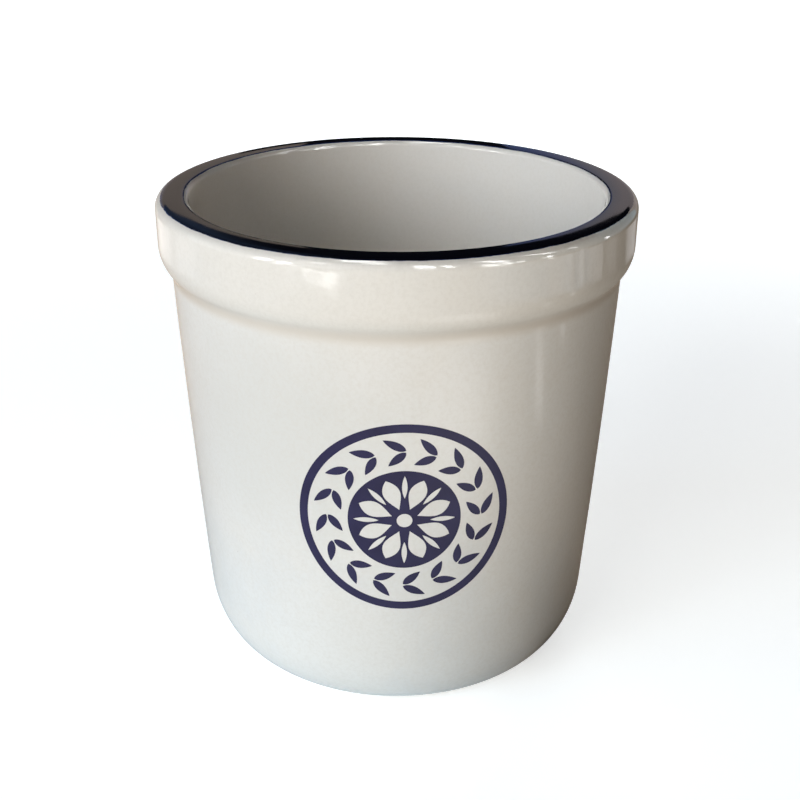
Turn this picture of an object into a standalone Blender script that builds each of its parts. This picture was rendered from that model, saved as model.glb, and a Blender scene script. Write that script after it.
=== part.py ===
"""A one-gallon stoneware crock: a turned clay body with a rolled collar, the white coats on its outside and
inside, the dark band over its rim and the round print fired into its front.

Metres, +Z up. The crock stands on z = 0 with its axis on Z, and the print faces -Y. Every coat is a stretch of
one outline, so that the coats lie flush with each other and the clay follows them at one depth."""

import math

import bpy

# Outer form
HEIGHT = 0.2038
COLLAR_RADIUS = 0.098
COLLAR_HEIGHT = 0.0188  # from the rim down to where the collar turns in
COLLAR_OVERHANG = 0.0041  # of the collar's face over the wall, level with the collar's lower edge
SHOULDER_RADIUS = 0.0042  # the rim's outer rounding
UNDERSIDE_RADIUS = 0.0137  # the convex turn under the collar
COVE_RADIUS = 0.011  # the hollow turn from the collar's underside into the wall
WALL_TAPER = 0.0097  # the radius that the wall loses from the collar's lower edge to the table
WALL_BULGE = 0.00037  # how far the wall swells past a straight line
HEEL_WIDTH = 0.0187
HEEL_HEIGHT = 0.0294

# Inside
WALL = 0.0100
FLOOR = 0.0100
LIP_RADIUS = 0.0025
FLOOR_FILLET = 0.0220

# Foot ring
FOOT_HEIGHT = 0.0015  # of the heel's lowest point over the table
FOOT_INSET = 0.0015  # of the ring's outer side from the heel's lowest point
FOOT_WIDTH = 0.0080
FOOT_EDGE = 0.0004
FOOT_HOLLOW = 0.0030  # of the underside inside the ring over the table

# Coats
COAT = 0.0005
SEAT = 0.0003  # clearance between two coats, and between a coat and the clay
BAND_INNER_TURN = math.radians(22)  # round the lip, from the rim's flat top
BAND_OUTER_TURN = math.radians(27)  # round the shoulder, from the rim's flat top
HEEL_COAT_TURN = math.radians(76)  # round the heel, from the wall's side

# Print
PRINT_RADIUS = 0.0415  # measured along the wall
PRINT_HEIGHT = 0.0985  # of its middle over the table
CUT_OVERRUN = 0.004  # of a cutter past the surface that it cuts

# Fineness
TURN_STEPS = 64
PRINT_SIDES = 64
WALL_STEPS = 3
MERGE = 0.00001
SHARP_ANGLE = math.radians(35)

# Lines worked out from the sizes
COLLAR_EDGE_Z = HEIGHT - COLLAR_HEIGHT
LEAN = math.atan(WALL_TAPER / COLLAR_EDGE_Z)
FLOOR_Z = FOOT_HOLLOW + FLOOR
CLAY_DEPTH = COAT + SEAT


def wall_radius(z):
    """Radius of the straight outer wall at a height, before it swells."""
    return COLLAR_RADIUS - COLLAR_OVERHANG - math.tan(LEAN) * (COLLAR_EDGE_Z - z)


def bore_radius(z):
    """Radius of the inner wall at a height."""
    return wall_radius(z) - WALL / math.cos(LEAN)


def arc(centre, radii, start, end, steps):
    """Points round an ellipse's arc, with angles from +R towards +Z."""
    angles = [start + (end - start) * step / steps for step in range(steps + 1)]
    return [
        (centre[0] + radii[0] * math.cos(angle), centre[1] + radii[1] * math.sin(angle))
        for angle in angles
    ]


def round_arc(centre, radius, start, end, steps):
    return arc(centre, (radius, radius), start, end, steps)


def floor_and_bore():
    """The inside from the floor's middle up to the lip's lower end."""
    centre_z = FLOOR_Z + FLOOR_FILLET
    centre = (bore_radius(centre_z) - FLOOR_FILLET / math.cos(LEAN), centre_z)
    return [(0, FLOOR_Z)] + round_arc(centre, FLOOR_FILLET, -math.pi / 2, -LEAN, 5)


def lip(start, end, steps):
    centre_z = HEIGHT - LIP_RADIUS
    centre = (bore_radius(centre_z) + LIP_RADIUS / math.cos(LEAN), centre_z)
    return round_arc(centre, LIP_RADIUS, start, end, steps)


def shoulder(start, end, steps):
    centre = (COLLAR_RADIUS - SHOULDER_RADIUS, HEIGHT - SHOULDER_RADIUS)
    return round_arc(centre, SHOULDER_RADIUS, start, end, steps)


def underside_and_cove():
    """The collar's convex underside, then the hollow that meets the wall, both tangent to what they join."""
    under = (COLLAR_RADIUS - UNDERSIDE_RADIUS, COLLAR_EDGE_Z)
    normal = (math.cos(LEAN), -math.sin(LEAN))
    down = (-math.sin(LEAN), -math.cos(LEAN))
    # The cove's centre lies a cove radius outside the wall, and both radii away from the underside's centre.
    from_under = (
        wall_radius(COLLAR_EDGE_Z) + COVE_RADIUS * normal[0] - under[0],
        COVE_RADIUS * normal[1],
    )
    reach = UNDERSIDE_RADIUS + COVE_RADIUS
    along = from_under[0] * down[0] + from_under[1] * down[1]
    slide = -along + math.sqrt(along**2 + reach**2 - from_under[0] ** 2 - from_under[1] ** 2)
    offset = (from_under[0] + slide * down[0], from_under[1] + slide * down[1])
    cove = (under[0] + offset[0], under[1] + offset[1])
    turn = math.atan2(-offset[1], offset[0])
    hollow = round_arc(cove, COVE_RADIUS, math.pi - turn, math.pi - LEAN, 3)
    return round_arc(under, UNDERSIDE_RADIUS, 0, -turn, 3) + hollow[1:]


def heel(end_turn, steps):
    """The rounded heel from the wall's side down to an angle, as a stretch of an upright ellipse."""
    start = math.atan(math.tan(LEAN) * HEEL_HEIGHT / HEEL_WIDTH)
    centre_z = FOOT_HEIGHT + HEEL_HEIGHT
    top_z = centre_z - HEEL_HEIGHT * math.sin(start)
    centre = (wall_radius(top_z) - HEEL_WIDTH * math.cos(start), centre_z)
    return arc(centre, (HEEL_WIDTH, HEEL_HEIGHT), -start, -end_turn, steps)


def swelling_wall(top, bottom):
    """Points between the wall's two ends, bowed outwards by the bulge."""
    points = []
    for step in range(1, WALL_STEPS):
        share = step / WALL_STEPS
        bow = 4 * WALL_BULGE * share * (1 - share)
        points.append((
            top[0] + (bottom[0] - top[0]) * share + bow * math.cos(LEAN),
            top[1] + (bottom[1] - top[1]) * share - bow * math.sin(LEAN),
        ))
    return points


def inset(points, depth):
    """The outline moved into the clay, which lies on the right of its direction."""
    normals = []
    for (r0, z0), (r1, z1) in zip(points, points[1:]):
        length = math.hypot(r1 - r0, z1 - z0)
        normals.append(((z1 - z0) / length, (r0 - r1) / length))
    moved = []
    for index, (r, z) in enumerate(points):
        before = normals[max(index - 1, 0)]
        after = normals[min(index, len(normals) - 1)]
        mitre = 1 + before[0] * after[0] + before[1] * after[1]
        moved.append((
            r + depth * (before[0] + after[0]) / mitre,
            z + depth * (before[1] + after[1]) / mitre,
        ))
    return moved


def outlines():
    """The surface of the inner coat, the rim's band and the outer coat, each as far as the coat goes."""
    top = math.pi / 2
    lip_gap = SEAT / LIP_RADIUS / 2
    shoulder_gap = SEAT / SHOULDER_RADIUS / 2
    inner = floor_and_bore() + lip(math.pi - LEAN, top + BAND_INNER_TURN + lip_gap, 2)
    band = lip(top + BAND_INNER_TURN - lip_gap, top, 1) + shoulder(
        top, top - BAND_OUTER_TURN + shoulder_gap, 2
    )
    collar = shoulder(top - BAND_OUTER_TURN - shoulder_gap, 0, 3) + underside_and_cove()
    foot_turn = heel(HEEL_COAT_TURN, 6)
    outer = collar + swelling_wall(collar[-1], foot_turn[0]) + foot_turn
    return inner, band, outer


def clay_outline(surface):
    """The clay under the coats, then its bare heel and foot ring, back to the axis."""
    clay = inset(surface, CLAY_DEPTH)
    heel_end = heel(math.pi / 2, 1)[-1]
    foot_outer = heel_end[0] - FOOT_INSET
    foot_inner = foot_outer - FOOT_WIDTH
    bare_z = heel_end[1] + CLAY_DEPTH
    return clay + [
        (heel_end[0], bare_z),
        (foot_outer, bare_z),
        (foot_outer, FOOT_EDGE),
        (foot_outer - FOOT_EDGE, 0),
        (foot_inner + FOOT_EDGE, 0),
        (foot_inner, FOOT_EDGE),
        (foot_inner - FOOT_EDGE, FOOT_HOLLOW),
        (0, FOOT_HOLLOW),
    ]


def collection(name):
    made = bpy.data.collections.new(name)
    bpy.context.scene.collection.children.link(made)
    return made


def material(name, colour, roughness):
    made = bpy.data.materials.new(name)
    made.use_nodes = True
    shader = made.node_tree.nodes["Principled BSDF"]
    shader.inputs["Base Color"].default_value = (*colour, 1)
    shader.inputs["Roughness"].default_value = roughness
    shader.inputs["Metallic"].default_value = 0
    made.diffuse_color = (*colour, 1)
    made.roughness = roughness
    return made


def turned(name, outline, group, finish, closed):
    """An outline turned round Z. A closed outline joins its last point to its first."""
    count = len(outline)
    edges = [(index, index + 1) for index in range(count - 1)]
    if closed:
        edges.append((count - 1, 0))
    mesh = bpy.data.meshes.new(name)
    mesh.from_pydata([(r, 0, z) for r, z in outline], edges, [])
    mesh.materials.append(finish)
    piece = bpy.data.objects.new(name, mesh)
    group.objects.link(piece)
    screw = piece.modifiers.new("Turn", "SCREW")
    screw.steps = TURN_STEPS
    screw.render_steps = TURN_STEPS
    screw.use_merge_vertices = True
    screw.merge_threshold = MERGE
    return piece


def coat(name, surface, group, finish):
    """A skin of one thickness under a stretch of the crock's surface."""
    loop = surface + inset(surface, COAT)[::-1]
    starts_on_axis = surface[0][0] == 0
    return turned(name, loop, group, finish, closed=not starts_on_axis)


def print_cutter(name, clearance, group):
    """A round bar from inside the wall out through the front, narrowed so that its disc lies round on the wall."""
    inner = wall_radius(0) - WALL
    outer = COLLAR_RADIUS + CUT_OVERRUN
    bpy.ops.mesh.primitive_cylinder_add(
        vertices=PRINT_SIDES,
        radius=PRINT_RADIUS + clearance,
        depth=outer - inner,
        location=(0, -(inner + outer) / 2, PRINT_HEIGHT),
        rotation=(math.pi / 2, 0, 0),
    )
    cutter = bpy.context.active_object
    cutter.name = name
    bpy.ops.object.transform_apply(location=True, rotation=True, scale=True)
    radius = wall_radius(PRINT_HEIGHT)
    for vertex in cutter.data.vertices:
        vertex.co.x = radius * math.sin(vertex.co.x / radius)
    for owner in cutter.users_collection:
        owner.objects.unlink(cutter)
    group.objects.link(cutter)
    cutter.hide_render = True
    cutter.display_type = "WIRE"
    return cutter


def cut(piece, cutter, operation):
    boolean = piece.modifiers.new(operation.title(), "BOOLEAN")
    boolean.operation = operation
    boolean.solver = "EXACT"
    boolean.object = cutter


def settle(piece):
    """Keeps the modifiers' result as the piece's own mesh, shaded smooth between its sharp edges."""
    bpy.context.view_layer.update()
    graph = bpy.context.evaluated_depsgraph_get()
    mesh = bpy.data.meshes.new_from_object(piece.evaluated_get(graph))
    mesh.name = piece.name
    piece.modifiers.clear()
    piece.data = mesh
    mesh.shade_smooth()
    mesh.set_sharp_from_angle(angle=SHARP_ANGLE)


def main():
    for old in list(bpy.data.objects):
        bpy.data.objects.remove(old, do_unlink=True)
    crock = collection("crock")
    cutters = collection("cutters")

    clay = material("bare stoneware", (0.55, 0.43, 0.30), 0.80)
    white = material("white glaze", (0.79, 0.775, 0.73), 0.12)
    navy = material("navy glaze", (0.010, 0.012, 0.035), 0.10)
    ink = material("fired ink", (0.030, 0.026, 0.080), 0.22)

    inner, band, outer = outlines()
    body = turned("stoneware_body", clay_outline(inner + band + outer), crock, clay, closed=False)
    inner_glaze = coat("inner_glaze", inner, crock, white)
    rim_band = coat("rim_band", band, crock, navy)
    outer_glaze = coat("outer_glaze", outer, crock, white)
    front_print = coat("front_print", outer, crock, ink)
    cut(outer_glaze, print_cutter("print_seat_cutter", SEAT, cutters), "DIFFERENCE")
    cut(front_print, print_cutter("print_cutter", 0, cutters), "INTERSECT")
    for piece in (body, inner_glaze, rim_band, outer_glaze, front_print):
        settle(piece)


main()
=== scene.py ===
"""The looks of a glazed stoneware crock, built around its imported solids.

Metres, +Z up, in the same frame as the solids. One master outline runs from the floor's middle up the
bore, over the lip, the rim and the shoulder, down the collar and the wall to the heel. It is turned into one
grid of points with a slight unevenness, and each coat is a stretch of that grid, so that the coats meet
without a seam."""

import math

import bpy
import numpy as np
from mathutils import Matrix, Vector, noise
from mathutils.geometry import delaunay_2d_cdt


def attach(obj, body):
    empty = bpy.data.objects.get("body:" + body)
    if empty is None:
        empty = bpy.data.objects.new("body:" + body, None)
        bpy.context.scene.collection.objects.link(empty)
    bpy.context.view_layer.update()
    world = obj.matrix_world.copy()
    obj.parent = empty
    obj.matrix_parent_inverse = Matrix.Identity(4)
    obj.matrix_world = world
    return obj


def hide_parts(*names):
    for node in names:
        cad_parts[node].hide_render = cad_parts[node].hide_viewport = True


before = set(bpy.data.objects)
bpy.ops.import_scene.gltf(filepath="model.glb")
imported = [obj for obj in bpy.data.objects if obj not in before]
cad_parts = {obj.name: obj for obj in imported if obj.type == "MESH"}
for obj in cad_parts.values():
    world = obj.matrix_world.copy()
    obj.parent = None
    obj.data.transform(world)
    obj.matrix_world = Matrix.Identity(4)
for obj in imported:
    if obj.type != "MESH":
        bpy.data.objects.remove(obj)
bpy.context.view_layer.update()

# Form, in metres, as the solids have it
HEIGHT = 0.2038
COLLAR_RADIUS = 0.098
COLLAR_HEIGHT = 0.0188
COLLAR_OVERHANG = 0.0041
SHOULDER_RADIUS = 0.0042
UNDERSIDE_RADIUS = 0.0137
COVE_RADIUS = 0.011
WALL_TAPER = 0.0097
WALL_BULGE = 0.00037
HEEL_WIDTH = 0.0187
HEEL_HEIGHT = 0.0294
WALL = 0.0100
FLOOR = 0.0100
LIP_RADIUS = 0.0025
FLOOR_FILLET = 0.0220
FOOT_HEIGHT = 0.0015
FOOT_INSET = 0.0015
FOOT_WIDTH = 0.0080
FOOT_EDGE = 0.0004
FOOT_HOLLOW = 0.0030
COAT = 0.0005
BAND_INNER_TURN = math.radians(22)
BAND_OUTER_TURN = math.radians(27)
HEEL_COAT_TURN = math.radians(76)
PRINT_RADIUS = 0.0415
PRINT_HEIGHT = 0.0985

EDGE_Z = HEIGHT - COLLAR_HEIGHT
LEAN = math.atan(WALL_TAPER / EDGE_Z)
FLOOR_Z = FOOT_HOLLOW + FLOOR
# The cove's band is partly glaze pooled there and partly painted shade under the collar's overhang
COVE_Z = 0.1742  # the cove's deepest ring, where the glaze pools
COVE_REACH = 0.0050

TURN = 192  # points round the crock
STEPS = {  # rows of points along each stretch of the outline
    "floor": 16, "fillet": 18, "bore": 40, "lip": 5, "rim": 8, "land": 6, "rim_out": 9, "collar_top": 9,
    "face": 8, "underside": 12, "cove": 14, "wall": 60, "heel": 22,
}
BAND_MARGIN = math.radians(14)  # of the rim's piece past the band's edges, in white glaze

# The form's unevenness
UNEVEN = 0.00016  # the most that the glaze dips below the true outline
MEAN_DIP = 0.5  # share of it at which the swells set out
SWELL_WIDTH, SWELL_HEIGHT, SWELL_SHIFT, SWELL_SHARE = 0.060, 0.050, 3.7, 0.55
RIPPLE_WIDTH, RIPPLE_HEIGHT, RIPPLE_SHIFT, RIPPLE_SHARE = 0.016, 0.012, 9.1, 0.16
RING_RISE, RING_WANDER, RING_SHARE = 0.0062, 1.5, 0.10  # turning rings: height for each radian, their wander
CROWN = 0.00005  # how far the flat rim falls from its middle to its edges
RIM_EVEN = 0.35  # share of the unevenness that the rim has, which is ground flat
RIM_FADE = 0.009  # height over which the unevenness settles to it
MIDDLE_FADE = 0.02  # radius over which it sets in from the floor's middle


# Outline

def wall_radius(z):
    return COLLAR_RADIUS - COLLAR_OVERHANG - math.tan(LEAN) * (EDGE_Z - z)


def bore_radius(z):
    return wall_radius(z) - WALL / math.cos(LEAN)


def arc(centre, radii, start, end, steps):
    turns = [start + (end - start) * k / steps for k in range(steps + 1)]
    return [(centre[0] + radii[0] * math.cos(t), centre[1] + radii[1] * math.sin(t)) for t in turns]


def line(start, end, steps, bow=0.0):
    points = []
    for k in range(steps + 1):
        t = k / steps
        swell = 4 * bow * t * (1 - t)
        points.append((
            start[0] + (end[0] - start[0]) * t + swell * math.cos(LEAN),
            start[1] + (end[1] - start[1]) * t - swell * math.sin(LEAN),
        ))
    return points


def lip(start, end, steps):
    z = HEIGHT - LIP_RADIUS
    return arc((bore_radius(z) + LIP_RADIUS / math.cos(LEAN), z), (LIP_RADIUS,) * 2, start, end, steps)


def shoulder(start, end, steps):
    centre = (COLLAR_RADIUS - SHOULDER_RADIUS, HEIGHT - SHOULDER_RADIUS)
    return arc(centre, (SHOULDER_RADIUS,) * 2, start, end, steps)


def underside_and_cove():
    """The collar's convex underside and the cove, which is tangent to it and to the leaning wall."""
    under = (COLLAR_RADIUS - UNDERSIDE_RADIUS, EDGE_Z)
    normal = (math.cos(LEAN), -math.sin(LEAN))
    down = (-math.sin(LEAN), -math.cos(LEAN))
    offset = (wall_radius(EDGE_Z) + COVE_RADIUS * normal[0] - under[0], COVE_RADIUS * normal[1])
    reach = UNDERSIDE_RADIUS + COVE_RADIUS
    along = offset[0] * down[0] + offset[1] * down[1]
    slide = -along + math.sqrt(along**2 + reach**2 - offset[0] ** 2 - offset[1] ** 2)
    offset = (offset[0] + slide * down[0], offset[1] + slide * down[1])
    cove = (under[0] + offset[0], under[1] + offset[1])
    turn = math.atan2(-offset[1], offset[0])
    hollow = arc(cove, (COVE_RADIUS,) * 2, math.pi - turn, math.pi - LEAN, STEPS["cove"])
    return arc(under, (UNDERSIDE_RADIUS,) * 2, 0, -turn, STEPS["underside"]) + hollow[1:]


def heel(end_turn, steps):
    start = math.atan(math.tan(LEAN) * HEEL_HEIGHT / HEEL_WIDTH)
    centre_z = FOOT_HEIGHT + HEEL_HEIGHT
    top_z = centre_z - HEEL_HEIGHT * math.sin(start)
    centre = (wall_radius(top_z) - HEEL_WIDTH * math.cos(start), centre_z)
    return arc(centre, (HEEL_WIDTH, HEEL_HEIGHT), -start, -end_turn, steps)


def master_outline():
    """Points (r, z) of the whole glazed surface, and the row where each stretch starts."""
    top = math.pi / 2
    inner_end, outer_end = top + BAND_INNER_TURN + BAND_MARGIN, top - BAND_OUTER_TURN - BAND_MARGIN
    fillet_z = FLOOR_Z + FLOOR_FILLET
    fillet_c = (bore_radius(fillet_z) - FLOOR_FILLET / math.cos(LEAN), fillet_z)
    fillet = arc(fillet_c, (FLOOR_FILLET,) * 2, -top, -LEAN, STEPS["fillet"])
    floor = line((0.0, FLOOR_Z), fillet[0], STEPS["floor"])
    lip_low = lip(math.pi - LEAN, inner_end, STEPS["lip"])
    bore = line(fillet[-1], lip_low[0], STEPS["bore"])
    rim_in = lip(inner_end, top, STEPS["rim"])
    rim_out = shoulder(top, outer_end, STEPS["rim_out"])
    land = line(rim_in[-1], rim_out[0], STEPS["land"])
    collar_top = shoulder(outer_end, 0, STEPS["collar_top"])
    under = underside_and_cove()
    face = line(collar_top[-1], under[0], STEPS["face"])
    low = heel(HEEL_COAT_TURN, STEPS["heel"])
    wall = line(under[-1], low[0], STEPS["wall"], WALL_BULGE)
    points, starts = [], {}
    for name, part in (
        ("floor", floor), ("fillet", fillet), ("bore", bore), ("lip", lip_low), ("rim", rim_in),
        ("land", land), ("rim_out", rim_out), ("collar_top", collar_top), ("face", face), ("under", under),
        ("wall", wall), ("heel", low),
    ):
        starts[name] = max(len(points) - 1, 0)
        points += part if not points else part[1:]
    return np.array(points), starts


def outline_normals(points):
    """Unit normals out of the glaze, on the left of the outline's direction."""
    ahead = np.gradient(points, axis=0)
    normals = np.stack([-ahead[:, 1], ahead[:, 0]], axis=1)
    normals /= np.linalg.norm(normals, axis=1)[:, None]
    normals[0] = (0, 1)
    return normals


OUTLINE, STARTS = master_outline()
NORMALS = outline_normals(OUTLINE)
TURNS = np.arange(TURN) * 2 * math.pi / TURN


# Unevenness

def dip(r, z, angle):
    """How far below the true outline the glaze lies at a place, by the swells of throwing and pouring."""
    x, y = r * math.cos(angle), r * math.sin(angle)
    slow = noise.noise(Vector((x / SWELL_WIDTH, y / SWELL_WIDTH, z / SWELL_HEIGHT + SWELL_SHIFT)))
    quick = noise.noise(Vector((x / RIPPLE_WIDTH + RIPPLE_SHIFT, y / RIPPLE_WIDTH, z / RIPPLE_HEIGHT)))
    rings = math.sin(z / RING_RISE + RING_WANDER * slow) * RING_SHARE
    return -UNEVEN * min(1.0, max(0.0, MEAN_DIP + SWELL_SHARE * slow + RIPPLE_SHARE * quick + rings))


def surface_grid():
    """World points of the whole glazed surface, rows along the outline and columns round the crock."""
    grid = np.zeros((len(OUTLINE), TURN, 3))
    land_in, land_out = OUTLINE[STARTS["land"], 0], OUTLINE[STARTS["rim_out"], 0]
    land_mid, land_half = (land_in + land_out) / 2, (land_out - land_in) / 2
    for i, ((r, z), (nr, nz)) in enumerate(zip(OUTLINE, NORMALS)):
        if z > HEIGHT - SHOULDER_RADIUS:
            off = abs(r - land_mid) / land_half
            z -= CROWN * (off * off if off < 1 else 2 * off - 1) * max(0.0, nz)
        ground = min(1.0, max(0.0, (z - HEIGHT + RIM_FADE) / RIM_FADE))
        ground = ground * ground * (3 - 2 * ground)
        share = min(1.0, r / MIDDLE_FADE) * (1.0 + (RIM_EVEN - 1.0) * ground)
        for j, turn in enumerate(TURNS):
            sink = dip(r, z, turn) * share
            rr = r + sink * nr
            grid[i, j] = (rr * math.cos(turn), rr * math.sin(turn), z + sink * nz)
    return grid


def grid_normals(grid):
    along = np.gradient(grid, axis=0)
    around = np.roll(grid, -1, axis=1) - np.roll(grid, 1, axis=1)
    normals = np.cross(along, around)
    length = np.linalg.norm(normals, axis=2)
    length[length == 0] = 1
    normals /= length[:, :, None]
    normals[0] = (0, 0, 1)
    return normals


GRID = surface_grid()
GRID_NORMALS = grid_normals(GRID)


# Meshes

def make(name, points, faces, finish, normals=None):
    mesh = bpy.data.meshes.new(name)
    mesh.from_pydata([tuple(p) for p in points], [], faces)
    mesh.materials.append(finish)
    mesh.validate()
    mesh.shade_smooth()
    if normals is not None:
        mesh.normals_split_custom_set_from_vertices([tuple(n) for n in normals])
    mesh.update()
    piece = bpy.data.objects.new(name, mesh)
    bpy.context.scene.collection.objects.link(piece)
    return piece


UNDER_STRIDE = 3  # a coat's hidden side has one row for so many of its seen side


def coat(name, first, last, finish):
    """A closed skin: rows first to last of the surface, and the same stretch a coat's thickness below it.

    A coat that starts at row 0 is closed over the floor's middle."""
    pole = first == 0
    rings = [(GRID[row], GRID_NORMALS[row]) for row in range(first, last + 1)]
    for row in sorted({*range(first, last + 1, UNDER_STRIDE), last}, reverse=True):
        (r, z), (nr, nz) = OUTLINE[row], NORMALS[row]
        rr, zz = r - COAT * nr, z - COAT * nz
        rings.append((
            np.stack([rr * np.cos(TURNS), rr * np.sin(TURNS), np.full(TURN, zz)], axis=1),
            np.stack([-nr * np.cos(TURNS), -nr * np.sin(TURNS), np.full(TURN, -nz)], axis=1),
        ))
    points, normals, faces = [], [], []
    if pole:
        points.append((0, 0, GRID[0][0][2]))
        normals.append((0, 0, 1))
        rings = rings[1:-1]
    base, total = len(points), len(rings)
    for ring, ring_normals in rings:
        points.extend(ring)
        normals.extend(ring_normals)

    def at(k, j):
        return base + (k % total) * TURN + j % TURN

    for k in range(total - 1 if pole else total):
        for j in range(TURN):
            faces.append((at(k, j), at(k + 1, j), at(k + 1, j + 1), at(k, j + 1)))
    if pole:
        points.append((0, 0, FLOOR_Z - COAT))
        normals.append((0, 0, -1))
        faces += [(0, at(0, j), at(0, j + 1)) for j in range(TURN)]
        faces += [(len(points) - 1, at(total - 1, j + 1), at(total - 1, j)) for j in range(TURN)]
    return make(name, points, faces, finish, normals)


def turned(name, outline, finish, sharp):
    """A closed body turned from an outline that starts and ends on the axis."""
    points, faces = [(0, 0, outline[0][1])], []
    body = outline[1:-1]
    for r, z in body:
        points += [(r * math.cos(turn), r * math.sin(turn), z) for turn in TURNS]
    points.append((0, 0, outline[-1][1]))

    def at(k, j):
        return 1 + k * TURN + j % TURN

    for k in range(len(body) - 1):
        for j in range(TURN):
            faces.append((at(k, j), at(k + 1, j), at(k + 1, j + 1), at(k, j + 1)))
    for j in range(TURN):
        faces.append((0, at(0, j), at(0, j + 1)))
        faces.append((len(points) - 1, at(len(body) - 1, j + 1), at(len(body) - 1, j)))
    piece = make(name, points, faces, finish)
    piece.data.set_sharp_from_angle(angle=sharp)
    return piece


# Materials

NOISE_RANGE = (0.3, 0.7)  # where a noise's values mostly lie
SPECK_SHIFT = (1, 0.37, 0.61)  # how far a seed shifts the cells, along each axis
SPECK_LEAST = 0.35  # the smallest speck's radius, as a share of the largest's
SPECK_CORE = 0.55  # share of a speck's radius within which it is full


class Nodes:
    """Short ways to build a material's nodes."""

    def __init__(self, name):
        self.material = bpy.data.materials.new(name)
        self.material.use_nodes = True
        self.tree = self.material.node_tree
        self.shader = self.tree.nodes["Principled BSDF"]
        self.place = self.node("ShaderNodeTexCoord").outputs["Object"]

    def node(self, kind, **values):
        made = self.tree.nodes.new(kind)
        for key, value in values.items():
            setattr(made, key, value)
        return made

    def link(self, out, into):
        self.tree.links.new(out, into)

    def put(self, socket, value):
        if isinstance(value, bpy.types.NodeSocket):
            self.link(value, socket)
        else:
            socket.default_value = value

    def shade(self, **sockets):
        """Links or sets the shader's own sockets: Base_Color=..., Roughness=..."""
        for key, value in sockets.items():
            self.put(self.shader.inputs[key.replace("_", " ")], value)

    def math(self, operation, a, b=None, c=None, clamp=False):
        made = self.node("ShaderNodeMath", operation=operation, use_clamp=clamp)
        for socket, value in zip(made.inputs, (a, b, c)):
            if value is not None:
                self.put(socket, value)
        return made.outputs[0]

    def mapped(self, value, low, high, out_low=0.0, out_high=1.0, smooth=False):
        made = self.node("ShaderNodeMapRange", clamp=True,
                         interpolation_type="SMOOTHSTEP" if smooth else "LINEAR")
        self.put(made.inputs["Value"], value)
        for key, number in (("From Min", low), ("From Max", high), ("To Min", out_low), ("To Max", out_high)):
            self.put(made.inputs[key], number)
        return made.outputs["Result"]

    def mix(self, share, a, b):
        made = self.node("ShaderNodeMix", data_type="RGBA")
        self.put(made.inputs["Factor"], share)
        self.put(made.inputs[6], (*a, 1) if isinstance(a, tuple) else a)
        self.put(made.inputs[7], (*b, 1) if isinstance(b, tuple) else b)
        return made.outputs[2]

    def noise(self, scale, detail, rough, distortion=0.0):
        made = self.node("ShaderNodeTexNoise")
        self.link(self.place, made.inputs["Vector"])
        made.inputs["Scale"].default_value = scale
        made.inputs["Detail"].default_value = detail
        made.inputs["Roughness"].default_value = rough
        made.inputs["Distortion"].default_value = distortion
        return made.outputs["Fac"]

    def spread(self, pattern, out_low=0.0, out_high=1.0):
        """A noise's usual range, mapped to two numbers."""
        return self.mapped(self.noise(*pattern), *NOISE_RANGE, out_low, out_high)

    def specks(self, scale, size, rare, seed):
        """Round specks: a share of the cells hold one, of a size that differs from cell to cell."""
        shifted = self.node("ShaderNodeVectorMath", operation="ADD")
        self.link(self.place, shifted.inputs[0])
        shifted.inputs[1].default_value = [seed * share for share in SPECK_SHIFT]
        cell = self.node("ShaderNodeTexVoronoi", feature="F1")
        self.link(shifted.outputs[0], cell.inputs["Vector"])
        cell.inputs["Scale"].default_value = scale
        hue = self.node("ShaderNodeSeparateColor")
        self.link(cell.outputs["Color"], hue.inputs[0])
        held = self.math("LESS_THAN", hue.outputs[0], rare)
        reach = self.mapped(hue.outputs[1], 0.0, 1.0, size * SPECK_LEAST * scale, size * scale)
        away = self.math("DIVIDE", cell.outputs["Distance"], reach)
        return self.math("MULTIPLY", self.mapped(away, SPECK_CORE, 1.0, 1.0, 0.0, smooth=True), held)

    def bump(self, height, distance, strength, under=None):
        made = self.node("ShaderNodeBump")
        self.put(made.inputs["Height"], height)
        made.inputs["Distance"].default_value = distance
        made.inputs["Strength"].default_value = strength
        if under is not None:
            self.link(under, made.inputs["Normal"])
        return made.outputs["Normal"]

    def axes(self):
        """A place's x, y and z, and its distance from the crock's axis."""
        split = self.node("ShaderNodeSeparateXYZ")
        self.link(self.place, split.inputs[0])
        x, y, z = split.outputs
        radius = self.math("SQRT", self.math("ADD", self.math("MULTIPLY", x, x), self.math("MULTIPLY", y, y)))
        return x, y, z, radius


# Colours
WHITE = (0.800, 0.785, 0.745)
WARM = (0.760, 0.725, 0.655)
COOL = (0.790, 0.790, 0.765)
THICK = (0.808, 0.781, 0.723)
LOW_DRIFT_GREY = (0.735, 0.745, 0.735)
# Painted shade for the wall's front-left, where the key lamps fall most
SHADE_PATCH_TONE = (0.722, 0.722, 0.690)
# The cove's band: partly pooled glaze, partly painted shade under the collar, browner and darker on the
# crock's right
POOLED_AND_SHADED = (0.700, 0.648, 0.575)
SHADED_POOL_RIGHT = (0.570, 0.510, 0.440)
GRAIN_TONE = tuple(0.9 * c for c in WARM)
DARK_SPECK = (0.16, 0.12, 0.085)
FINE_SPECK = (0.30, 0.26, 0.21)
NAVY = (0.0030, 0.0034, 0.0075)
BLUE = (0.030, 0.052, 0.150)
INK = (0.030, 0.027, 0.080)
INK_DEEP = (0.022, 0.019, 0.058)
INK_PALE = (0.050, 0.046, 0.115)
CLAY = (0.60, 0.49, 0.36)
CLAY_DARK = (0.50, 0.39, 0.27)
SAND = (0.33, 0.23, 0.14)
IRON = (0.11, 0.065, 0.035)
BLUSH = (0.42, 0.25, 0.13)
PLAIN_TINT = (1.0, 1.0, 1.0)
# The inside glaze is the white made darker and warmer: painted shade for the crock's interior, deepened
# further by its bounce light
INSIDE_SHADE_TINT = (0.956, 0.930, 0.908)

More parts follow.
